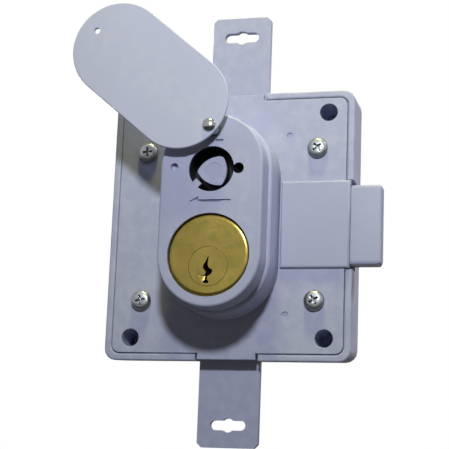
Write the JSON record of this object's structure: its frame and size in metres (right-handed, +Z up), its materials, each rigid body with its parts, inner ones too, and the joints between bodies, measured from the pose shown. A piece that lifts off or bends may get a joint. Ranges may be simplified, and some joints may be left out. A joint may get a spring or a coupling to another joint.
{
  "type": "meter box lock",
  "caption": "Surface-mounted meter box lock with a swinging cover flap over a triangular spindle and a key cylinder, a side bolt, and sliding bars at top and bottom.",
  "frame": {"origin": "centre of the case's flat back face, where it lies on the door", "axes": "+Z up along the sliding bars, +Y out of the back towards the door, +X towards the side bolt, -Y towards the user"},
  "size_m": [0.1164, 0.0502, 0.1728],
  "materials": {
    "paint": "satin lavender-grey enamel on cast and pressed metal",
    "flap_paint": "satin grey enamel on sheet steel",
    "zinc": "bright zinc plating",
    "steel": "plain machined steel",
    "brass": "turned brass, dulled"
  },
  "bodies": {
    "lock_case": {"case": "paint", "cover_plate": "paint", "cover_screw_1": "zinc", "cover_screw_2": "zinc", "cover_screw_3": "zinc", "cover_screw_4": "zinc", "housing_screw_1": "zinc", "housing_screw_2": "zinc", "cylinder_screw_1": "zinc", "cylinder_screw_2": "zinc", "boss_housing": "paint", "cylinder_body": "brass", "chamber_strip": "brass", "driver_pin_1": "steel", "driver_pin_2": "steel", "driver_pin_3": "steel", "driver_pin_4": "steel", "driver_pin_5": "steel", "pin_spring_1": "steel", "pin_spring_2": "steel", "pin_spring_3": "steel", "pin_spring_4": "steel", "pin_spring_5": "steel", "flap_rivet": "zinc"},
    "spindle_set": {"spindle": "zinc", "drive_pinion": "steel", "spindle_clip": "steel"},
    "plug_set": {"cylinder_plug": "brass", "cam_gear": "steel", "cam_screw": "zinc", "key_pin_1": "brass", "key_pin_2": "brass", "key_pin_3": "brass", "key_pin_4": "brass", "key_pin_5": "brass"},
    "side_bolt": {"bolt": "paint"},
    "upper_bar": {"top_bar": "paint"},
    "lower_bar": {"bottom_bar": "paint"},
    "cover_flap": {"flap": "flap_paint"}
  },
  "joints": [
    {"name": "spindle_turn", "type": "hinge", "parent": "lock_case", "child": "spindle_set", "pos_m": [-0.001, -0.02, 0.016], "axis": [0, 1, 0], "range_deg": [0, 90]},
    {"name": "bolt_slide", "type": "slide", "parent": "lock_case", "child": "side_bolt", "axis": [-1, 0, 0], "range_m": [0, 0.01296]},
    {"name": "top_bar_slide", "type": "slide", "parent": "lock_case", "child": "upper_bar", "axis": [0, 0, -1], "range_m": [0, 0.01296]},
    {"name": "bottom_bar_slide", "type": "slide", "parent": "lock_case", "child": "lower_bar", "axis": [0, 0, 1], "range_m": [0, 0.01296]},
    {"name": "plug_turn", "type": "hinge", "parent": "lock_case", "child": "plug_set", "pos_m": [-0.001, -0.02, -0.0209], "axis": [0, 1, 0], "range_deg": [-90, 0]},
    {"name": "flap_swing", "type": "hinge", "parent": "lock_case", "child": "cover_flap", "pos_m": [-0.001, -0.048, 0.0313], "axis": [0, 1, 0], "continuous": true}
  ],
  "couplings": [
    {"joint": "spindle_turn", "follows": "bolt_slide", "rad_per_m": 121.21},
    {"joint": "top_bar_slide", "follows": "bolt_slide", "ratio": 1},
    {"joint": "bottom_bar_slide", "follows": "bolt_slide", "ratio": 1},
    {"joint": "plug_turn", "follows": "bolt_slide", "rad_per_m": -121.21}
  ]
}
